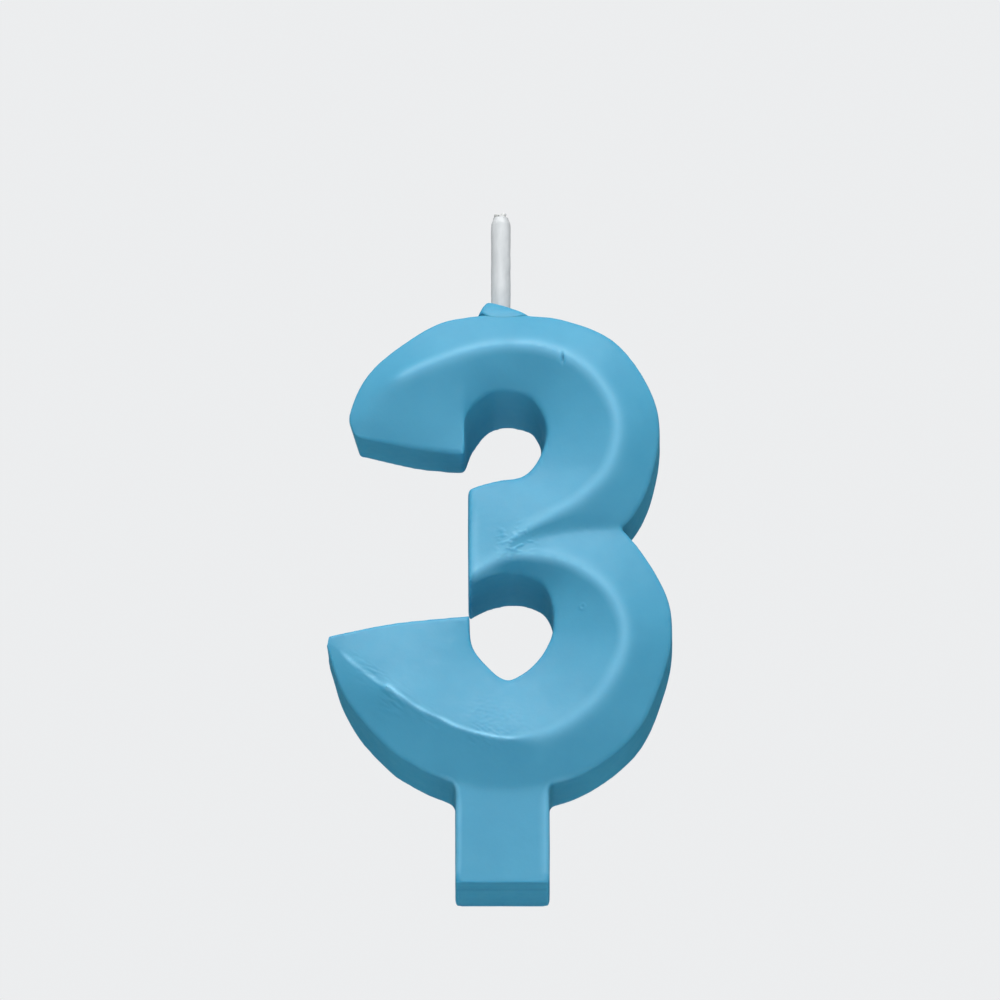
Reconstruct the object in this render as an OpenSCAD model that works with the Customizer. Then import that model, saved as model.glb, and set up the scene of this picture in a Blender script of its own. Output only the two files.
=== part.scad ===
// Number three birthday candle: a moulded wax numeral on a flat stake, with a waxed cotton wick.
// The origin is the middle of the stake's foot. +Z is up and the numeral's face looks along -Y.

/* [Casting] */
// Thickness of the casting from its flat back to the rim of its face
cast_depth = 8.5; // [7.5:0.25:10]
// Height of the ridge that runs along the strokes, above the rim of the face
ridge_rise = 2.8; // [1.5:0.1:3.5]
// Steps along each stretch of a stroke between two of its shape stations
stroke_steps = 6; // [3:1:8]

/* [Stake] */
// Width of the stake
stake_w = 11.4; // [10:0.1:13]
// Radius of the stake's four upright edges
stake_edge_r = 0.5; // [0.4:0.1:1.5]
// Radius of the fillets where the stake meets the numeral
neck_fillet_r = 1.3; // [1:0.1:1.6]

/* [Wick] */
// Height of the wick's tip above the stake's foot
wick_top = 87.8; // [82:0.2:92]
// Depth of the wick's hole below the top of the wax
wick_buried = 8.5; // [6:0.5:8.5]
// Diameter of the wick over its wax coat
wick_d = 2.4; // [2.2:0.1:2.6]
// Thickness of the wax coat on the wick
coat_wall = 0.25; // [0.2:0.05:0.35]
// Length of one full turn of the wick's plait
plait_pitch = 7; // [5:0.5:9]

/* [Hidden] */

face_y = -cast_depth / 2;
back_y = cast_depth / 2;

// Shape stations of the upper stroke, from the tip of its arm round to the middle bar.
// Each outer station is [x, z] on the outside of the stroke.
upper_outer = [
    [-18.0, 57.8], [-18.5, 60.6], [-15.6, 66.4], [-8.8, 71.7], [-3.8, 73.1], [1.0, 73.3], [7.5, 72.7],
    [14.2, 69.3], [18.7, 61.2], [18.2, 53.0], [15.1, 46.5], [9.5, 43.5], [3.9, 42.0], [0.2, 40.1],
    [-5.5, 37.4]
];
// Each ridge station is [x, z, share of the full ridge height].
upper_ridge = [
    [-17.8, 57.7, 0.15], [-16.2, 60.6, 0.8], [-12.6, 64.3, 1], [-6.4, 67.1, 1], [-3.0, 68.1, 1],
    [0.8, 68.6, 1], [5.8, 67.9, 1], [10.6, 65.0, 1], [13.8, 59.4, 1], [13.1, 53.2, 1], [9.8, 49.0, 1],
    [6.2, 46.5, 1], [2.0, 43.8, 1], [-1.3, 40.3, 1], [-6.0, 37.3, 1]
];
// Each inner station is [x, z, share of the ridge height, back edge's shift in x, and in z].
// The arm's cut edge comes first and the counter's edge second, and they meet in a corner.
upper_arm_edge = [
    [-17.4, 57.4, 0, 0, 0.8], [-14.8, 56.9, 0, 0, 0.55], [-10.0, 56.0, 0, 0, 0.35],
    [-4.5, 55.2, 0, -0.1, 0.6]
];
upper_counter_edge = [
    [-4.5, 55.2, 0, -0.1, 0.6], [-4.4, 60.3, 0, 1.1, -1.4], [-1.2, 63.5, 0, 0.3, -2.1],
    [2.9, 63.0, 0, 0, -1.8], [4.9, 60.4, 0, -0.5, -1.0], [5.3, 57.6, 0, -0.8, 0], [4.3, 54.6, 0, -0.5, 0.3],
    [2.4, 52.5, 0, 0, 0.6], [-0.7, 51.9, 0, 0, 0.6], [-4.1, 50.8, 0, 0, 0.3], [-8.0, 48.5, 0, 0, 0],
    [-12.0, 46.0, 0, 0, 0]
];

// Shape stations of the lower stroke, from the middle bar round to the tip of its arm, in the same form
lower_outer = [
    [-13.0, 42.5], [-8.5, 45.3], [-3.5, 47.8], [1.5, 49.3], [8.2, 49.1], [14.4, 45.7], [19.3, 38.4],
    [20.5, 32.8], [19.4, 26.7], [16.1, 19.3], [9.1, 13.8], [0.6, 12.1], [-6.8, 13.4], [-11.0, 15.4],
    [-14.3, 17.9], [-19.1, 24.0], [-21.3, 30.6]
];
lower_ridge = [
    [-7.5, 36.5, 1], [-4.1, 38.4, 1], [-1.4, 40.1, 1], [1.6, 41.1, 1], [6.2, 40.8, 1], [9.7, 39.3, 1],
    [13.0, 36.4, 1], [14.8, 31.8, 1], [14.0, 27.2, 1], [10.9, 22.1, 1], [5.7, 18.3, 1], [0.4, 17.6, 1],
    [-4.8, 18.8, 1], [-7.6, 20.2, 1], [-10.6, 21.8, 1], [-16.0, 25.9, 0.9], [-21.0, 31.1, 0.15]
];
lower_counter_edge = [
    [-7.0, 35.9, 0.9, 0, -0.5], [-4.1, 37.8, 0.9, 0, -1.0], [-1.6, 39.1, 0.5, 0, -1.0],
    [1.4, 39.9, 0, 0, -1.2], [4.4, 38.9, 0, -0.2, -0.9], [5.6, 37.2, 0, -0.1, -0.5], [6.1, 34.9, 0, 0, -0.2],
    [6.0, 32.2, 0, 0, 0.2], [5.0, 29.8, 0, 0, 0.3], [3.6, 28.0, 0, 0, 0.4], [2.1, 26.8, 0, 0, 0.4],
    [0.4, 26.2, 0, 0, 0.4], [-1.6, 27.7, 0, 0.1, 0.3], [-3.7, 30.6, 0, 0.2, 0], [-4.0, 34.5, 0, 0, 0.2]
];
lower_arm_edge = [
    [-4.0, 34.5, 0, 0, 0.2], [-13.0, 33.5, 0, 0, 0.2], [-21.1, 31.8, 0, 0, 0.2]
];

// How far the back edge of each arm's tip is drawn in from the front edge
upper_tip_draw = 1.0;
lower_tip_draw = 0.45;

// Left end of the middle bar, where both strokes are cut off flat, and how far the cut clears to the left
bar_end_x = -4.15;
bar_end_top = 53.6;
bar_end_foot = 35.2;
bar_cut_w = 20;

// Stake
// Height of the corners between the stake and the numeral, and of the stake's hidden top inside the wax
neck_z = 13.3;
stake_top = 16;
fillet_overlap = 1;

// Wick
wick_x = -0.2;
wax_top = 73.5;
wick_foot = wax_top - wick_buried;
wick_r = wick_d / 2;
coat_bore_r = wick_r - coat_wall;

// Three strands, each a little under half as wide as the coat's bore
strand_share = 0.46;
strand_r = coat_bore_r * strand_share;
plait_r = coat_bore_r - strand_r;
strand_sides = 8;
strand_ring_gap = 0.9;
strand_rings = floor((wick_top - wick_foot) / strand_ring_gap);

// The strands stand a little out of the top of the coat
bare_tip = 0.5;
coat_h = wick_top - bare_tip - wick_foot;

// Drop of wax that seals the wick's hole, set in a shallow pocket.
// Each ring is [height above the pocket's floor, radius, middle in x, tilt].
pocket_depth = 0.6;
pocket_z = wax_top - pocket_depth;
pocket_r = 3.2;
pocket_x = 0.15;
seal_rings = [
    [0, pocket_r, pocket_x, 0], [0.6, 3.15, 0.15, 0], [1.3, 2.6, 0, 0.06], [2.0, 2.1, -0.15, 0.12],
    [2.55, 1.65, -0.3, 0.2], [2.8, 1.35, -0.25, 0.25]
];
seal_sides = 32;

// How far a hollow's shape runs past the surface that it opens
past = 1;

// Sides of the round shapes
edge_sides = 32;
bore_sides = 48;
pocket_sides = 64;

// Smooth curve through b and c, shaped by the stations a and d on either side
function span_point(a, b, c, d, t) =
    0.5 * (2 * b + (c - a) * t + (2 * a - 5 * b + 4 * c - d) * t * t + (3 * b - a - 3 * c + d) * t * t * t);

// Point at s along the smooth curve through the stations, where s counts stations from 0
function curve_point(stations, s) =
    let (n = len(stations))
    let (i = min(floor(s), n - 2))
    let (before = i > 0 ? stations[i - 1] : 2 * stations[0] - stations[1])
    let (after = i < n - 2 ? stations[i + 2] : 2 * stations[n - 1] - stations[n - 2])
    span_point(before, stations[i], stations[i + 1], after, s - i);

// Point at s along two smooth curves that meet in a corner
function corner_curve_point(first, second, s) =
    let (spans = len(first) - 1)
    s < spans ? curve_point(first, s) : curve_point(second, s - spans);

// Share of the tip's draw at s: whole up to one station from the tip, none from a station and a half
function tip_share(s, tip_s) = min(1, max(0, 3 - 2 * abs(s - tip_s)));

// One cross-section of a stroke: outer back, outer rim, ridge, inner rim, inner back
function stroke_section(outer, ridge, inner, draw) = [
    [outer[0] + draw, back_y, outer[1]],
    [outer[0], face_y, outer[1]],
    [ridge[0], face_y - ridge_rise * ridge[2], ridge[1]],
    [inner[0], face_y - ridge_rise * inner[2], inner[1]],
    [inner[0] + inner[3], back_y, inner[1] + inner[4]]
];

// Closed skin over rings of equal point counts, with a fan over each end ring
function skin_faces(rings, sides) = concat(
    [for (r = [0:rings - 2], k = [0:sides - 1])
        [r * sides + k, (r + 1) * sides + k, r * sides + (k + 1) % sides]],
    [for (r = [0:rings - 2], k = [0:sides - 1])
        [r * sides + (k + 1) % sides, (r + 1) * sides + k, (r + 1) * sides + (k + 1) % sides]],
    [for (k = [1:sides - 2]) [0, k, k + 1]],
    [for (k = [1:sides - 2]) [(rings - 1) * sides, (rings - 1) * sides + k + 1, (rings - 1) * sides + k]]
);

module skin(rings) {
    sides = len(rings[0]);
    polyhedron(points = [for (ring = rings) each ring], faces = skin_faces(len(rings), sides));
}

// One whole stroke. Its arm's tip is at station tip_s.
module stroke(outer, ridge, inner_first, inner_second, tip_s, tip_draw) {
    steps = (len(outer) - 1) * stroke_steps;
    skin([for (i = [0:steps])
        let (s = i / stroke_steps)
        let (inner = corner_curve_point(inner_first, inner_second, s))
        stroke_section(curve_point(outer, s), curve_point(ridge, s), inner, tip_draw * tip_share(s, tip_s))
    ]);
}

// Region left of the middle bar's flat end, between the two arms
module bar_cut() {
    translate([bar_end_x - bar_cut_w, face_y - 2 * ridge_rise, bar_end_foot])
        cube([bar_cut_w, cast_depth + 3 * ridge_rise, bar_end_top - bar_end_foot]);
}

// Upright block with four round edges
module stake_block() {
    corner_x = stake_w / 2 - stake_edge_r;
    corner_y = cast_depth / 2 - stake_edge_r;
    linear_extrude(height = stake_top)
        union() {
            square([2 * corner_x, cast_depth], center = true);
            square([stake_w, 2 * corner_y], center = true);
            for (x = [-corner_x, corner_x], y = [-corner_y, corner_y])
                translate([x, y]) circle(r = stake_edge_r, $fn = edge_sides);
        }
}

// Fillets in the two corners between the stake and the underside of the numeral
module neck_fillets() {
    block = neck_fillet_r + fillet_overlap;
    for (side = [0, 1])
        mirror([side, 0, 0])
            translate([stake_w / 2, cast_depth / 2, neck_z])
                rotate([90, 0, 0])
                    linear_extrude(height = cast_depth)
                        difference() {
                            translate([-fillet_overlap, -neck_fillet_r]) square([block, block]);
                            translate([neck_fillet_r, -neck_fillet_r])
                                circle(r = neck_fillet_r, $fn = bore_sides);
                        }
}

module wax_numeral() {
    color([0.36, 0.66, 0.80])
        difference() {
            union() {
                difference() {
                    union() {
                        stroke(upper_outer, upper_ridge, upper_arm_edge, upper_counter_edge,
                            0, upper_tip_draw);
                        stroke(lower_outer, lower_ridge, lower_counter_edge, lower_arm_edge,
                            len(lower_outer) - 1, lower_tip_draw);
                    }
                    bar_cut();
                }
                stake_block();
                neck_fillets();
            }
            translate([wick_x, 0, wick_foot])
                cylinder(r = wick_r, h = wick_buried + past, $fn = bore_sides);
            translate([pocket_x, 0, pocket_z])
                cylinder(r = pocket_r, h = pocket_depth + past, $fn = pocket_sides);
        }
}

// Drop of wax round the foot of the bare wick, steeper on its left
module wick_seal() {
    color([0.44, 0.72, 0.85])
        difference() {
            skin([for (ring = seal_rings)
                [for (k = [0:seal_sides - 1])
                    let (a = -360 * k / seal_sides)
                    let (reach = ring[1] * cos(a))
                    [ring[2] + reach, ring[1] * sin(a), pocket_z + ring[0] - ring[3] * reach]
                ]
            ]);
            translate([wick_x, 0, pocket_z - past])
                cylinder(r = wick_r, h = wick_top - pocket_z, $fn = bore_sides);
        }
}

module wick_coat() {
    color([0.92, 0.93, 0.92, 0.6])
        translate([wick_x, 0, wick_foot])
            difference() {
                cylinder(r = wick_r, h = coat_h, $fn = bore_sides);
                translate([0, 0, -past]) cylinder(r = coat_bore_r, h = coat_h + 2 * past, $fn = bore_sides);
            }
}

// One strand of the plait: a tube that swings from side to side and crosses the other two
module wick_strand(phase) {
    skin([for (i = [0:strand_rings])
        let (z = wick_foot + (wick_top - wick_foot) * i / strand_rings)
        let (turn = 360 * z / plait_pitch + phase)
        [for (k = [0:strand_sides - 1])
            let (a = -360 * k / strand_sides)
            [
                wick_x + plait_r * cos(turn) + strand_r * cos(a),
                plait_r * sin(turn) + strand_r * sin(a),
                z
            ]
        ]
    ]);
}

module wick_strand_1() {
    color([0.95, 0.95, 0.93]) wick_strand(0);
}

module wick_strand_2() {
    color([0.93, 0.93, 0.91]) wick_strand(120);
}

module wick_strand_3() {
    color([0.91, 0.91, 0.89]) wick_strand(240);
}

wax_numeral();
wick_seal();
wick_coat();
wick_strand_1();
wick_strand_2();
wick_strand_3();
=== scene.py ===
import math
import bpy
import bmesh
import numpy as np
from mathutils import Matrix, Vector, noise
from mathutils.bvhtree import BVHTree


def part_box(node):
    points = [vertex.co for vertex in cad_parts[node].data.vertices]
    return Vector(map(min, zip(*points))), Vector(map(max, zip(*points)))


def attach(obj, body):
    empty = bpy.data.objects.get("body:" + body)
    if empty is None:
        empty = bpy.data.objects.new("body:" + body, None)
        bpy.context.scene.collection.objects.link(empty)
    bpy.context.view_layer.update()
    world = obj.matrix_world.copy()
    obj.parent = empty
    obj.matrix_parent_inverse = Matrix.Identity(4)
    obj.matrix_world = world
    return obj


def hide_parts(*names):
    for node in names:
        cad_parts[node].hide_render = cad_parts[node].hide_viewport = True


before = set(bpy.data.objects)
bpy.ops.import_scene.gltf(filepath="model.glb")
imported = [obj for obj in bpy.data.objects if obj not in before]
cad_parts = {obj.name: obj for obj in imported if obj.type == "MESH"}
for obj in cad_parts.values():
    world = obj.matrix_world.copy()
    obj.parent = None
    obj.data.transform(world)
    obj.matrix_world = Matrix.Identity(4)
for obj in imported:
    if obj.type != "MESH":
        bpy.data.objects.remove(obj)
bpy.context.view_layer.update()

MM = 0.001

# The numeral's box and the sizes that the pieces take from it
low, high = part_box("wax_numeral")
coat_low, coat_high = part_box("wick_coat")
seal_low, seal_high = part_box("wick_seal")
face_y = -high.y  # the rim of the face is as far forward as the back is behind
ridge_y = low.y
ridge_rise = face_y - ridge_y
wick_axis = Vector(((coat_low.x + coat_high.x) / 2, 0, 0))
wick_radius = (coat_high.x - coat_low.x) / 2

# Grid of the wax surface, and how far edges are worn round
BODY_VOXEL = 0.25 * MM
ROUNDING_STEPS = 11
CREST_STEPS = 34
FAIRING_STEPS = 600

# Top of the lower stroke's ridge, from its arm's tip to the middle of the bowl, as shares of the
# numeral's width and height
LOWER_RIDGE = (
    (0.01, 0.423),
    (0.13, 0.353),
    (0.255, 0.297),
    (0.33, 0.275),
    (0.4, 0.256),
    (0.52, 0.24),
    (0.64, 0.25),
)

# Camera: a parallel view from a little below, so the floor lies lower than the camera's own frame
FRAME_WIDTH = 120.8 * MM
CAMERA_DISTANCE = 0.3
CAMERA_ELEVATION = math.radians(-20.8)
TARGET = Vector((-0.3 * MM, 0, 50.96 * MM))
FLOOR_Z = -0.13
FLOOR_HALF = 3


# ---------------------------------------------------------------- mesh helpers


def link(piece):
    bpy.context.scene.collection.objects.link(piece)
    return piece


def mesh_piece(name, points, faces):
    """A new smooth-shaded object from points and faces, in metres."""
    mesh = bpy.data.meshes.new(name)
    mesh.from_pydata([tuple(p) for p in points], [], faces)
    mesh.validate()
    mesh.shade_smooth()
    return link(bpy.data.objects.new(name, mesh))


def tube_faces(rings, sides, closed_ends=True):
    """Quads between rings of equal length, with a fan-like cap at each end."""
    faces = [
        (r * sides + k, r * sides + (k + 1) % sides, (r + 1) * sides + (k + 1) % sides, (r + 1) * sides + k)
        for r in range(rings - 1)
        for k in range(sides)
    ]
    if closed_ends:
        faces.append(tuple(reversed(range(sides))))
        faces.append(tuple((rings - 1) * sides + k for k in range(sides)))
    return faces


def closed_skin_faces(rings, sides):
    """Quads between rings of equal length, the last of which joins on to the first."""
    last = (rings - 1) * sides
    closing = [(last + k, last + (k + 1) % sides, (k + 1) % sides, k) for k in range(sides)]
    return tube_faces(rings, sides, closed_ends=False) + closing


def turns(sides):
    """Angles of the points of a ring."""
    return [2 * math.pi * k / sides for k in range(sides)]


def face_outwards(piece):
    """Turns the faces of a closed piece so that all normals point out of it."""
    shape = bmesh.new()
    shape.from_mesh(piece.data)
    bmesh.ops.recalc_face_normals(shape, faces=shape.faces)
    shape.to_mesh(piece.data)
    shape.free()


def points_of(piece):
    points = np.empty(len(piece.data.vertices) * 3)
    piece.data.vertices.foreach_get("co", points)
    return points.reshape(-1, 3)


def normals_of(piece):
    normals = np.empty(len(piece.data.vertices) * 3)
    piece.data.vertex_normals.foreach_get("vector", normals)
    return normals.reshape(-1, 3)


def set_points(piece, points):
    piece.data.vertices.foreach_set("co", points.astype(np.float32).ravel())
    piece.data.update()


def edges_of(piece):
    edges = np.empty(len(piece.data.edges) * 2, dtype=np.int64)
    piece.data.edges.foreach_get("vertices", edges)
    return edges.reshape(-1, 2)


def neighbour_mean(values, edges):
    """Mean of each point's neighbours along its edges."""
    count = len(values)
    ends = np.concatenate([edges[:, 0], edges[:, 1]])
    others = np.concatenate([edges[:, 1], edges[:, 0]])
    degree = np.maximum(np.bincount(ends, minlength=count), 1)
    columns = [
        np.bincount(ends, weights=values[others, axis], minlength=count)
        for axis in range(values.shape[1])
    ]
    return np.stack(columns, axis=1) / degree[:, None]


def soften(points, edges, steps, share):
    """Rounds the surface. share says how much each point takes part, from 0 to 1."""
    for _ in range(steps):
        points = points + 0.5 * share[:, None] * (neighbour_mean(points, edges) - points)
    return points


def ramp(value, start, end):
    """Smooth step from 0 at start to 1 at end."""
    t = np.clip((value - start) / (end - start), 0, 1)
    return t * t * (3 - 2 * t)


def curve_point(stations, s):
    """Point at s along a smooth curve through the stations, where s counts stations from 0."""
    i = min(int(s), len(stations) - 2)
    before, start = stations[max(i - 1, 0)], stations[i]
    end, after = stations[i + 1], stations[min(i + 2, len(stations) - 1)]
    t = s - i
    square = 2 * before - 5 * start + 4 * end - after
    cube = 3 * start - before - 3 * end + after
    return 0.5 * (2 * start + (end - before) * t + square * t**2 + cube * t**3)


def noise_at(points, size, seed):
    """Smooth noise from about -1 to 1 at each point. size is its wavelength along each axis."""
    scaled = points / np.array(size) + seed
    return np.array([noise.noise(Vector(p)) for p in scaled])


def remeshed_copy(node, name, voxel):
    """A copy of a CAD node's mesh on an even grid, fine enough to take surface detail."""
    piece = link(bpy.data.objects.new(name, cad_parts[node].data.copy()))
    shape = bmesh.new()
    shape.from_mesh(piece.data)
    bmesh.ops.remove_doubles(shape, verts=shape.verts, dist=0.001 * MM)
    shape.to_mesh(piece.data)
    shape.free()
    grid = piece.modifiers.new("grid", "REMESH")
    grid.mode = "VOXEL"
    grid.voxel_size = voxel
    bpy.context.view_layer.update()
    evaluated = piece.evaluated_get(bpy.context.evaluated_depsgraph_get())
    mesh = bpy.data.meshes.new_from_object(evaluated)
    piece.modifiers.clear()
    piece.data = mesh
    piece.data.materials.clear()
    piece.data.shade_smooth()
    return piece


def keep_largest_shell(piece):
    """Removes every loose shell but the largest, such as a bubble inside the wax where two strokes cross."""
    shape = bmesh.new()
    shape.from_mesh(piece.data)
    shells, seen = [], set()
    for start in shape.verts:
        if start in seen:
            continue
        seen.add(start)
        shell = [start]
        for vert in shell:
            for edge in vert.link_edges:
                other = edge.other_vert(vert)
                if other not in seen:
                    seen.add(other)
                    shell.append(other)
        shells.append(shell)
    largest = max(shells, key=len)
    strays = [vert for shell in shells if shell is not largest for vert in shell]
    bmesh.ops.delete(shape, geom=strays, context="VERTS")
    shape.to_mesh(piece.data)
    shape.free()


def refine(piece, chosen):
    """Splits the faces whose points are all chosen, so that they take finer detail."""
    shape = bmesh.new()
    shape.from_mesh(piece.data)
    shape.verts.ensure_lookup_table()
    edges = [e for e in shape.edges if chosen[e.verts[0].index] and chosen[e.verts[1].index]]
    bmesh.ops.subdivide_edges(shape, edges=edges, cuts=1, use_grid_fill=True)
    shape.to_mesh(piece.data)
    shape.free()
    piece.data.shade_smooth()


# ---------------------------------------------------------------- the wax numeral


def along(share_x, share_z):
    """A place on the face, as shares of the numeral's width and height."""
    return Vector((low.x + share_x * (high.x - low.x), 0, low.z + share_z * (high.z - low.z)))


def ridge_line():
    """A smooth line along the top of the lower stroke's ridge."""
    stations = [along(*pair) for pair in LOWER_RIDGE]
    steps = 5
    return [curve_point(stations, k / steps) for k in range((len(stations) - 1) * steps + 1)]


def from_line(points):
    """Distance across the face from the lower stroke's ridge."""
    nearest = np.full(len(points), 1.0)
    stations = ridge_line()
    for start, end in zip(stations, stations[1:]):
        step = np.array((end.x - start.x, end.z - start.z))
        offset = points[:, (0, 2)] - np.array((start.x, start.z))
        t = np.clip(offset @ step / (step @ step), 0, 1)
        nearest = np.minimum(nearest, np.hypot(*(offset - t[:, None] * step).T))
    return nearest


def line_share(points, reach):
    """1 on the lower stroke's ridge, 0 at the reach to either side of it."""
    return (1 - ramp(from_line(points), 0.3 * reach, reach)) * (points[:, 1] < face_y)


def lower_arm_share(points):
    """1 over the lower stroke's ridge from its tip to the middle of the bowl, 0 elsewhere."""
    start, end = along(0.52, 0), along(0.62, 0)
    top, fade = along(0, 0.44), along(0, 0.46)
    return (1 - ramp(points[:, 0], start.x, end.x)) * (1 - ramp(points[:, 2], top.z, fade.z))


def bar_end_share(points):
    """1 at the square left end of the middle bar, 0 elsewhere."""
    near = 1 - ramp(abs(points[:, 0] - along(0.41, 0).x), 0.4 * MM, 1.2 * MM)
    bottom, full, fade, top = (along(0, share).z for share in (0.47, 0.49, 0.73, 0.75))
    return near * ramp(points[:, 2], bottom, full) * (1 - ramp(points[:, 2], fade, top))


def foot_face_share(points, normals):
    """1 on the underside of the foot, 0 elsewhere."""
    return ramp(-normals[:, 2], 0.8, 0.97) * (points[:, 2] < 0.3 * MM)


def foot_lines(points):
    """Faint lines that run from side to side on the foot's underside, from about -1 to 1."""
    return noise_at(points, (60 * MM, 0.85 * MM, 60 * MM), 9.7)


def spot_share(points, centre, radius):
    """1 at a place on the face, falling to 0 at the radius around it."""
    away = np.hypot(points[:, 0] - centre.x, points[:, 2] - centre.z)
    return (1 - ramp(away, 0, radius)) * (points[:, 1] < 0)


def fair_bevels(points, edges):
    """Evens out the two arms' inner bevels between rim and ridge, so that no crease crosses them."""
    depth = (face_y - points[:, 1]) / ridge_rise
    between = ramp(depth, 0.04, 0.18) * (1 - ramp(depth, 0.82, 0.96))
    upper_arm = 1 - ramp(points[:, 0], along(0.5, 0).x, along(0.58, 0).x)
    upper_arm *= ramp(points[:, 2], along(0, 0.73).z, along(0, 0.75).z)
    lower_arm = 1 - ramp(points[:, 0], along(0.55, 0).x, along(0.62, 0).x)
    lower_arm *= 1 - ramp(points[:, 2], along(0, 0.46).z, along(0, 0.48).z)
    share = between * np.maximum(upper_arm, lower_arm)
    for _ in range(FAIRING_STEPS):
        mean_depth = neighbour_mean(points[:, 1:2], edges)[:, 0]
        points[:, 1] += 0.9 * share * (mean_depth - points[:, 1])


def wax_numeral_piece():
    """The casting, with its edges worn round, its wear and painted light and shade stored and its marks in
    the surface.
    """
    piece = remeshed_copy("wax_numeral", "wax_numeral_body", BODY_VOXEL)
    keep_largest_shell(piece)
    points, edges = points_of(piece), edges_of(piece)
    keep_sharp = line_share(points, 1.2 * MM) * lower_arm_share(points)
    foot = 1 - ramp(points[:, 2], 0.6 * MM, 1.6 * MM)
    points = soften(points, edges, ROUNDING_STEPS, 1 - 0.72 * np.maximum(keep_sharp, foot))
    fair_bevels(points, edges)
    crest = ramp((face_y - points[:, 1]) / ridge_rise, 0.3, 0.75) * (1 - bar_end_share(points))
    points = soften(points, edges, CREST_STEPS, crest * (1 - lower_arm_share(points)))
    set_points(piece, points)
    mark_wear_and_painted_light(piece, points, edges)

    nick, pit, lumps = along(0.684, 0.91), along(0.741, 0.478), along(0.55, 0.59)
    stipple, scrape = along(0.48, 0.27), along(0.2, 0.31)
    nick_reach, pit_reach, lumps_reach = 1.6 * MM, 1.0 * MM, 3.4 * MM
    stipple_reach, scrape_reach = 6 * MM, 3 * MM
    fine = line_share(points, 2.6 * MM) * lower_arm_share(points) > 0.05
    for centre, reach in (
        (stipple, stipple_reach),
        (scrape, scrape_reach),
        (nick, nick_reach),
        (pit, pit_reach),
        (lumps, lumps_reach),
    ):
        fine |= spot_share(points, centre, reach) > 0
    refine(piece, fine)
    points, edges, normals = points_of(piece), edges_of(piece), normals_of(piece)

    # Broad, shallow waves of a hand-finished casting
    lift = 0.05 * MM * noise_at(points, (9 * MM, 6 * MM, 8 * MM), 3.1)
    lift += 0.018 * MM * noise_at(points, (2.6 * MM, 2.6 * MM, 2.2 * MM), 8.4)

    # Scuffs that run along the lower stroke's ridge, in patches
    run, rise = Vector((0.81, 0, -0.58)), Vector((0.58, 0, 0.81))
    turned = np.stack([points @ np.array(run), points[:, 1], points @ np.array(rise)], axis=1)
    patches = ramp(noise_at(turned, (5.5 * MM, 9 * MM, 5 * MM), 5.2), -0.15, 0.3)
    streaks = noise_at(turned, (1.3 * MM, 0.5 * MM, 0.3 * MM), 1.7)
    from_tip = ramp(points[:, 0], low.x + 1.5 * MM, low.x + 7 * MM)
    lift += 0.06 * MM * streaks * patches * from_tip * line_share(points, 2 * MM) * lower_arm_share(points)
    lift += 0.05 * MM * streaks * spot_share(points, scrape, scrape_reach)
    grain = noise_at(points, (0.55 * MM, 0.55 * MM, 0.45 * MM), 4.4)
    lift += 0.055 * MM * grain * spot_share(points, stipple, stipple_reach)

    # Faint lines across the underside of the foot
    lift -= 0.04 * MM * np.maximum(foot_lines(points), 0) * foot_face_share(points, normals)

    # Specks of wax where the two strokes run together
    specks = noise_at(points, (0.8 * MM, 0.8 * MM, 0.5 * MM), 6.6)
    lift += 0.34 * MM * np.maximum(specks, 0) * spot_share(points, lumps, lumps_reach)

    # A narrow nick across the upper ridge, with faint drag marks beside it, and a small pit on the lower bowl
    across = (points[:, 0] - nick.x) / (0.17 * MM)
    down = (points[:, 2] - nick.z) / (0.55 * MM)
    lift -= 0.42 * MM * np.exp(-across**2 - down**2) * (points[:, 1] < 0)
    drag = noise_at(points, (0.3 * MM, 3 * MM, 1.5 * MM), 2.9)
    lift += 0.03 * MM * drag * spot_share(points, nick, nick_reach)
    lift -= 0.12 * MM * spot_share(points, pit, 0.35 * MM)
    lift += 0.10 * MM * spot_share(points, pit, 0.6 * MM)

    set_points(piece, points + normals * lift[:, None])
    return piece


def proud_share(piece, points, edges, steps, full):
    """How far each point stands out of its smoothed surroundings, as a share of full, from -1 to 1."""
    everywhere = np.ones(len(points))
    proud = np.einsum("ij,ij->i", points - soften(points, edges, steps, everywhere), normals_of(piece))
    return np.clip(soften(proud[:, None], edges, 2, everywhere)[:, 0] / full, -1, 1)


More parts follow.
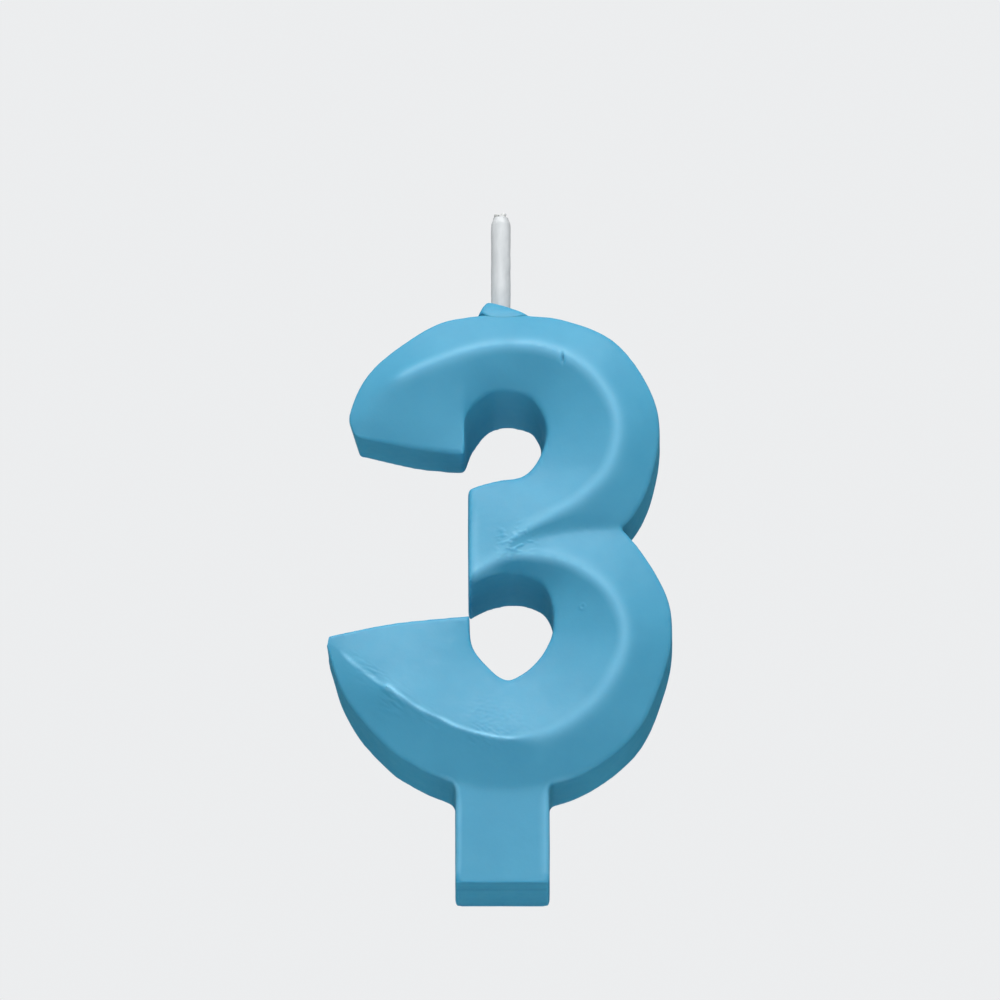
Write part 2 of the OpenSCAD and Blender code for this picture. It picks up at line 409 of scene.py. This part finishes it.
def mark_wear_and_painted_light(piece, points, edges):
    """Stores how worn each point is and the light and shade painted on it, for the wax's colour: above 0
    where rubbed pale and painted as a highlight, below 0 where shade is painted, in hollows and on the foot's
    underside.

    The ridge is the most worn and has the most painted highlight, in a thin sharp line on the lower arm, and
    then the stake's edges.
    """
    lower_arm = lower_arm_share(points)
    depth = (face_y - points[:, 1]) / ridge_rise
    crest = lower_arm * ramp(depth, 0.08, 0.25) + (1 - lower_arm) * ramp(depth, 0.15, 0.55)
    stake = 1 - ramp(points[:, 2], along(0, 0.17).z, along(0, 0.2).z)
    stake *= ramp(points[:, 2], 0.5 * MM, 1.5 * MM)
    wide = 0.7 * proud_share(piece, points, edges, 36, 0.16 * MM)
    narrow = proud_share(piece, points, edges, 4, 0.017 * MM)
    patchy = 0.75 + 0.5 * noise_at(points, (2.5 * MM, 9 * MM, 2.5 * MM), 7.3)
    # Painted highlight, partly rubbed wear: a thin pale line right along the lower stroke's ridge
    scuff_and_highlight_line = 0.75 * np.exp(-((from_line(points) / (0.24 * MM)) ** 2)) * (points[:, 1] < face_y)
    narrow = patchy * np.maximum(np.maximum(narrow, 0) ** 2.2, scuff_and_highlight_line)
    from_arm_end = ramp(points[:, 0], along(0.15, 0).x, along(0.5, 0).x)
    upper_share = 0.45 + 0.55 * np.maximum(from_arm_end, points[:, 2] < along(0, 0.7).z)
    # Painted highlight, partly rubbed wear: convex points on the ridge are paled, in a sharp line on the
    # lower arm and a broad band on the upper stroke
    share = np.minimum(narrow, 0.85) * lower_arm + np.maximum(wide, 0) * upper_share * (1 - lower_arm)
    # The stake's edges get a weaker painted highlight, partly rubbed wear
    exposed = np.maximum(0.1, np.maximum(crest * (1 - 0.85 * bar_end_share(points)), 0.4 * stake))
    # Concave points keep a value below 0, which the colour paints as shade in the hollows
    worn = np.where(wide > 0, share * exposed, wide)
    # Painted shade: the foot's underside is darkened all over, with faint darker lines across it
    worn -= foot_face_share(points, normals_of(piece)) * (0.6 + 0.9 * foot_lines(points))
    # Stored for the colour: rubbed wear and painted highlight above 0, painted shade below 0
    wear_and_painted_light = piece.data.attributes.new("wear_and_painted_light", "FLOAT", "POINT")
    wear_and_painted_light.data.foreach_set("value", worn.astype(np.float32))


# ---------------------------------------------------------------- the wick's seal


def surface_of(piece):
    """A piece's faces as a tree that rays can be cast at."""
    corners = [v.co for v in piece.data.vertices]
    return BVHTree.FromPolygons(corners, [tuple(p.vertices) for p in piece.data.polygons])


def wick_seal_piece(numeral):
    """A drop of wax round the foot of the wick, whose skirt thins out over the top of the numeral."""
    sides, flank_rings = 96, 20
    reach_left, reach_right, reach_front, reach_back = 3.3 * MM, 4.4 * MM, 4.6 * MM, 3.6 * MM
    cast, worn = surface_of(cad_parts["wax_numeral"]), surface_of(numeral)
    beside_pocket = high.y - 0.6 * MM
    down = Vector((0, 0, -1))
    pocket_z = seal_low.z
    pocket_radius = (seal_high.x - seal_low.x) / 2 - 0.02 * MM
    pocket_x = (seal_high.x + seal_low.x) / 2

    def drop_height(x, y):
        """Steep on the left, a long slope to the right, and in line with the face's bevel in front."""
        rise = 2.25 * MM
        run = max(0, x - seal_low.x - 0.8 * MM) / (5.7 * MM)
        flanks = (
            1.8 * (x - seal_low.x + 0.1 * MM),
            rise * (1 - run**1.3),
            1.6 * (y - face_y + 0.2 * MM),
            1.2 * (3.1 * MM - y),
        )
        blend, fillet = 0.3 * MM, 0.3 * MM
        height = -blend * math.log(sum(math.exp(-flank / blend) for flank in flanks))
        return fillet * math.log(1 + math.exp(height / fillet))

    def top_of_wax(x, y=0):
        """Height of the numeral's top beside the wick, and of its worn rounding in front and behind."""
        level = cast.ray_cast(Vector((x, beside_pocket, coat_high.z)), down)[0].z
        if abs(y) < beside_pocket:
            return level
        hit = worn.ray_cast(Vector((x, y, coat_high.z)), down)[0]
        return max(level - 1.2 * MM, min(level, hit.z)) if hit else level - 1.2 * MM

    def pocket_ring(middle_x, radius):
        """A ring on the bottom of the pocket in the numeral's top."""
        circle = [(radius * math.cos(a), radius * math.sin(a)) for a in turns(sides)]
        return [Vector((middle_x + x, y, pocket_z)) for x, y in circle]

    rings = [pocket_ring(wick_axis.x, wick_radius), pocket_ring(pocket_x, pocket_radius)]
    rings.append([Vector((p.x, p.y, top_of_wax(p.x) - 0.12 * MM)) for p in rings[1]])
    for i in range(flank_rings + 1):
        t = 1 - i / flank_rings
        ring = []
        for a in turns(sides):
            side_reach = reach_right if math.cos(a) > 0 else reach_left
            depth_reach = reach_front if math.sin(a) < 0 else reach_back
            aside, ahead = abs(math.cos(a)) / side_reach, abs(math.sin(a)) / depth_reach
            reach = (aside**3 + ahead**3) ** (-1 / 3)
            radius = wick_radius + t * (reach - wick_radius)
            x = wick_axis.x + radius * math.cos(a)
            y = radius * math.sin(a)
            lump = 0.05 * MM * noise.noise(Vector((x, y, 0)) / (1.1 * MM)) * (1 - t)
            sunk = 0.3 * MM * max(0, 1 - i / 4) ** 2
            ring.append(Vector((x, y, top_of_wax(x, y) + drop_height(x, y) + lump - sunk)))
        rings.append(ring)
    rings.append([Vector((p.x, p.y, p.z - 0.3 * MM)) for p in rings[-1]])
    points = [p for ring in rings for p in ring]
    piece = mesh_piece("wick_seal_drop", points, closed_skin_faces(len(rings), sides))
    face_outwards(piece)
    return piece


# ---------------------------------------------------------------- the wick


def centre_line(node):
    """Middle of each ring of a swept CAD node, from its lowest ring up."""
    levels = {}
    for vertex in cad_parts[node].data.vertices:
        place = tuple(round(c / (0.001 * MM)) for c in vertex.co)
        levels.setdefault(place[2], set()).add(place)
    middles = []
    for level in sorted(levels):
        ring = np.array(sorted(levels[level]), float) * 0.001 * MM
        middles.append(Vector((ring[:, 0].mean(), ring[:, 1].mean(), level * 0.001 * MM)))
    return middles


def smooth_line(points, gap):
    """The same line with a point at every gap of height, by a spline through the given ones."""
    heights = [p.z for p in points]
    wanted = np.arange(heights[0], heights[-1], gap)
    line = []
    for z in wanted:
        i = max(0, min(len(points) - 2, int(np.searchsorted(heights, z, side="right")) - 1))
        line.append(curve_point(points, i + (z - heights[i]) / (heights[i + 1] - heights[i])))
    return line


def strand_piece(node, name, seed):
    """One strand of the wick: four twisted plies of cotton, a little uneven, and looser at the cut end."""
    sides, plies, twist_length, radius = 32, 4, 1.9 * MM, 0.44 * MM
    tip_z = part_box(node)[1].z
    rings = []
    for centre in smooth_line(centre_line(node), 0.16 * MM):
        to_tip = tip_z - centre.z
        loose = 1 - min(1, to_tip / (1.2 * MM))
        ring = []
        for a in turns(sides):
            twist = 2 * math.pi * centre.z / twist_length + seed
            lobe = abs(math.sin((a * plies + twist * plies * 0.5) / 2))
            sample = Vector((math.cos(a) * 2, math.sin(a) * 2, centre.z / (0.5 * MM)))
            fuzz = noise.noise(sample + Vector((seed, 0, 0)))
            r = radius * (0.84 + 0.14 * lobe + 0.04 * fuzz) * (1 - 0.2 * loose)
            ring.append(centre + Vector((r * math.cos(a), r * math.sin(a), 0)))
        rings.append(ring)
    points = [p for ring in rings for p in ring]
    piece = mesh_piece(name, points, tube_faces(len(rings), sides))
    face_outwards(piece)
    return piece


def wick_coat_piece():
    """The thin, uneven skin of wax that the wick was dipped in. It clings to the strands."""
    sides, gap, wall = 64, 0.18 * MM, 0.2 * MM
    levels = int((coat_high.z - coat_low.z) / gap)
    strands = [smooth_line(centre_line(f"wick_strand_{n}"), gap) for n in (1, 2, 3)]
    outer, inner = [], []
    for i in range(levels + 1):
        z = coat_low.z + (coat_high.z - coat_low.z) * i / levels
        near = [min(line, key=lambda p: abs(p.z - z)) for line in strands]
        angles = [math.atan2(p.y, p.x - wick_axis.x) for p in near]
        to_top = coat_high.z - z
        ring_out, ring_in = [], []
        for a in turns(sides):
            over_strand = max(math.cos(a - s) for s in angles)
            cling = 0.015 * MM * (1 - ramp(over_strand, 0.45, 0.95))
            wave = noise.noise(Vector((math.cos(a), math.sin(a), z / (2.4 * MM))))
            drop = 0.03 * MM * (1 - wave) + 0.25 * MM * (1 - ramp(to_top, 0, 0.9 * MM))
            uneven = noise.noise(Vector((2 * math.cos(a), 2 * math.sin(a), 4))) if i == levels else 0
            middle = wick_axis + Vector((0, 0, z - abs(0.1 * MM * uneven)))
            r = wick_radius - cling - drop
            across = Vector((math.cos(a), math.sin(a), 0))
            ring_out.append(middle + across * r)
            ring_in.append(middle + across * (r - wall))
        outer.append(ring_out)
        inner.append(ring_in)
    rings = outer + inner[::-1]
    points = [p for ring in rings for p in ring]
    piece = mesh_piece("wick_wax_coat", points, closed_skin_faces(len(rings), sides))
    face_outwards(piece)
    return piece


# ---------------------------------------------------------------- materials


def node_material(name):
    material = bpy.data.materials.new(name)
    material.use_nodes = True
    tree = material.node_tree
    return material, tree, tree.nodes["Principled BSDF"]


def add(tree, kind, **settings):
    made = tree.nodes.new(kind)
    for key, value in settings.items():
        setattr(made, key, value)
    return made


def noise_texture(tree, scale, detail=3.0, rough=0.5, stretch=(1, 1, 1)):
    """Noise over the object's own coordinates. scale is in waves for each metre."""
    where = add(tree, "ShaderNodeTexCoord")
    mapping = add(tree, "ShaderNodeMapping")
    mapping.inputs["Scale"].default_value = stretch
    tree.links.new(where.outputs["Object"], mapping.inputs["Vector"])
    made = add(tree, "ShaderNodeTexNoise")
    made.inputs["Scale"].default_value = scale
    made.inputs["Detail"].default_value = detail
    made.inputs["Roughness"].default_value = rough
    tree.links.new(mapping.outputs["Vector"], made.inputs["Vector"])
    return made.outputs["Fac"]


def remap(tree, value, from_low, from_high, to_low, to_high):
    """A value moved in proportion from one range to another, and held inside it."""
    made = add(tree, "ShaderNodeMapRange")
    tree.links.new(value, made.inputs["Value"])
    made.inputs["From Min"].default_value = from_low
    made.inputs["From Max"].default_value = from_high
    made.inputs["To Min"].default_value = to_low
    made.inputs["To Max"].default_value = to_high
    return made.outputs["Result"]


def blend_colour(tree, share, first, second):
    """Mix of two colours, either of which may be a socket."""
    made = add(tree, "ShaderNodeMix", data_type="RGBA")
    tree.links.new(share, made.inputs["Factor"])
    for socket, colour in ((made.inputs[6], first), (made.inputs[7], second)):
        if isinstance(colour, bpy.types.NodeSocket):
            tree.links.new(colour, socket)
        else:
            socket.default_value = (*colour, 1)
    return made.outputs[2]


def bump(tree, height, strength, distance, normal=None):
    made = add(tree, "ShaderNodeBump")
    made.inputs["Strength"].default_value = strength
    made.inputs["Distance"].default_value = distance
    tree.links.new(height, made.inputs["Height"])
    if normal is not None:
        tree.links.new(normal, made.inputs["Normal"])
    return made.outputs["Normal"]


def wax_material():
    """Pigmented paraffin: satin, a little translucent, paler where edges have rubbed and where a highlight is
    painted on, and darker where shade is painted into hollows and the foot's underside.
    """
    material, tree, shader = node_material("blue_wax")
    cloud = remap(tree, noise_texture(tree, 160, 4, 0.55), 0.35, 0.65, 0, 1)
    mottled = blend_colour(tree, cloud, (0.041, 0.243, 0.378), (0.046, 0.258, 0.396))
    wear_and_painted_light = add(tree, "ShaderNodeAttribute", attribute_name="wear_and_painted_light")
    # Painted highlight, partly rubbed wear: the wax is paled where the stored value is above 0, on the ridge
    # and the stake's edges
    rubbed_and_highlit = remap(tree, wear_and_painted_light.outputs["Fac"], 0.03, 0.8, 0, 0.9)
    paled_and_highlit = blend_colour(tree, rubbed_and_highlit, mottled, (0.20, 0.48, 0.65))
    # Painted shade: the wax is darkened where the stored value is below 0, in hollows and on the foot's
    # underside
    painted_shade = remap(tree, wear_and_painted_light.outputs["Fac"], -0.2, -0.9, 0, 0.35)
    colour = blend_colour(tree, painted_shade, paled_and_highlit, (0.030, 0.18, 0.30))
    tree.links.new(colour, shader.inputs["Base Color"])
    satin = remap(tree, noise_texture(tree, 700, 3, 0.6), 0.3, 0.7, 0.42, 0.52)
    tree.links.new(satin, shader.inputs["Roughness"])
    soft = bump(tree, noise_texture(tree, 520, 4, 0.55), 0.25, 0.1 * MM)
    fine = bump(tree, noise_texture(tree, 3200, 3, 0.6, (1, 1, 0.6)), 0.22, 0.03 * MM, soft)
    tree.links.new(fine, shader.inputs["Normal"])
    shader.inputs["Subsurface Weight"].default_value = 0.55
    shader.inputs["Subsurface Radius"].default_value = (0.35, 0.8, 1.0)
    shader.inputs["Subsurface Scale"].default_value = 1.1 * MM
    shader.inputs["IOR"].default_value = 1.45
    return material


def coat_material():
    """Clear dipping wax over the wick."""
    material, tree, shader = node_material("clear_wax")
    streak = remap(tree, noise_texture(tree, 1500, 3, 0.6, (1, 1, 0.15)), 0.35, 0.65, 0, 1)
    colour = blend_colour(tree, streak, (0.47, 0.49, 0.50), (0.53, 0.55, 0.56))
    tree.links.new(colour, shader.inputs["Base Color"])
    satin = remap(tree, noise_texture(tree, 900, 2, 0.5), 0.3, 0.7, 0.28, 0.42)
    tree.links.new(satin, shader.inputs["Roughness"])
    ripple = bump(tree, noise_texture(tree, 1400, 3, 0.5, (1, 1, 0.2)), 0.25, 0.05 * MM)
    tree.links.new(ripple, shader.inputs["Normal"])
    shader.inputs["Alpha"].default_value = 0.85
    shader.inputs["IOR"].default_value = 1.44
    return material


def cotton_material():
    """Bleached cotton, soaked with wax, with fine fibres along the strands."""
    material, tree, shader = node_material("wick_cotton")
    fibre = remap(tree, noise_texture(tree, 5200, 4, 0.6, (1, 1, 0.12)), 0.3, 0.7, 0, 1)
    colour = blend_colour(tree, fibre, (0.38, 0.39, 0.385), (0.48, 0.49, 0.485))
    tree.links.new(colour, shader.inputs["Base Color"])
    tree.links.new(remap(tree, fibre, 0, 1, 0.6, 0.8), shader.inputs["Roughness"])
    tree.links.new(bump(tree, fibre, 0.5, 0.04 * MM), shader.inputs["Normal"])
    shader.inputs["Subsurface Weight"].default_value = 0.3
    shader.inputs["Subsurface Radius"].default_value = (1.0, 0.95, 0.9)
    shader.inputs["Subsurface Scale"].default_value = 0.5 * MM
    return material


def floor_material():
    material, tree, shader = node_material("pale_floor")
    tone = remap(tree, noise_texture(tree, 6, 3, 0.5), 0.3, 0.7, 0, 1)
    colour = blend_colour(tree, tone, (0.50, 0.50, 0.50), (0.53, 0.53, 0.53))
    tree.links.new(colour, shader.inputs["Base Color"])
    shader.inputs["Roughness"].default_value = 0.9
    return material


# ---------------------------------------------------------------- the stage


def aim(thing, target):
    thing.rotation_euler = (target - thing.location).to_track_quat("-Z", "Y").to_euler()


def softbox(name, place, target, width, height, power):
    light = bpy.data.lights.new(name, "AREA")
    light.shape = "RECTANGLE"
    light.size = width
    light.size_y = height
    light.energy = power
    lamp = link(bpy.data.objects.new(name, light))
    lamp.location = place
    lamp.visible_camera = False
    aim(lamp, target)
    return lamp


def make_stage():
    scene = bpy.context.scene
    scene.view_settings.view_transform = "Standard"

    # Plain surroundings: pale above and in front, dark low down behind, and brightest from steeply below
    world = bpy.data.worlds.new("studio")
    world.use_nodes = True
    tree = world.node_tree
    split = add(tree, "ShaderNodeSeparateXYZ")
    tree.links.new(add(tree, "ShaderNodeTexCoord").outputs["Generated"], split.inputs["Vector"])
    behind = remap(tree, split.outputs["Y"], -0.7, -0.05, 0, 1)
    height = remap(tree, split.outputs["Z"], -0.25, 0.1, 0, 1)
    band = blend_colour(tree, behind, (0.85, 0.86, 0.87), (0.06, 0.06, 0.06))
    steep = remap(tree, split.outputs["Z"], -0.62, -0.78, 0, 1)
    below = blend_colour(tree, steep, band, (2.3, 2.36, 2.4))
    sky = blend_colour(tree, height, below, (0.84, 0.85, 0.86))
    tree.links.new(sky, tree.nodes["Background"].inputs["Color"])
    scene.world = world
    # Only the softboxes shine on the wax, so its undersides stay saturated
    world.cycles_visibility.glossy = False

    middle = Vector((0, 0, (low.z + high.z) / 2))
    softbox("top_softbox", middle + Vector((0, -0.48, 0.68)), middle, 0.9, 0.6, 7.6)
    softbox("front_fill", middle + Vector((0.1, -1.0, -0.15)), middle, 1.9, 0.9, 5.6)
    softbox("back_fill", middle + Vector((-0.2, 1.1, 0.35)), middle, 1.2, 0.9, 5).visible_glossy = False

    corners = [(x * FLOOR_HALF, y * FLOOR_HALF, FLOOR_Z) for x, y in ((-1, -1), (1, -1), (1, 1), (-1, 1))]
    floor = mesh_piece("floor", corners, [(0, 1, 2, 3)])
    floor.data.materials.append(floor_material())
    # The floor's own glow would wash out the candle's undersides
    floor.visible_diffuse = False
    floor.visible_glossy = False


def make_camera():
    camera = bpy.data.cameras.new("camera")
    camera.type = "ORTHO"
    camera.ortho_scale = FRAME_WIDTH
    viewer = link(bpy.data.objects.new("camera", camera))
    back = Vector((0, -math.cos(CAMERA_ELEVATION), math.sin(CAMERA_ELEVATION)))
    viewer.location = TARGET + back * CAMERA_DISTANCE
    aim(viewer, TARGET)
    camera.clip_start = 0.01
    bpy.context.scene.camera = viewer


# ---------------------------------------------------------------- the candle


def place(piece, material, slot, *nodes):
    piece.data.materials.clear()
    piece.data.materials.append(material)
    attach(piece, "root")
    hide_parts(*nodes)


make_camera()
wax, clear, cotton = wax_material(), coat_material(), cotton_material()
numeral = wax_numeral_piece()
place(numeral, wax, "blue_wax", "wax_numeral")
place(wick_seal_piece(numeral), wax, "seal_wax", "wick_seal")
place(wick_coat_piece(), clear, "clear_wax", "wick_coat")
for number in (1, 2, 3):
    strand = strand_piece(f"wick_strand_{number}", f"wick_yarn_{number}", 2.1 * number)
    place(strand, cotton, "wick_cotton", f"wick_strand_{number}")
make_stage()
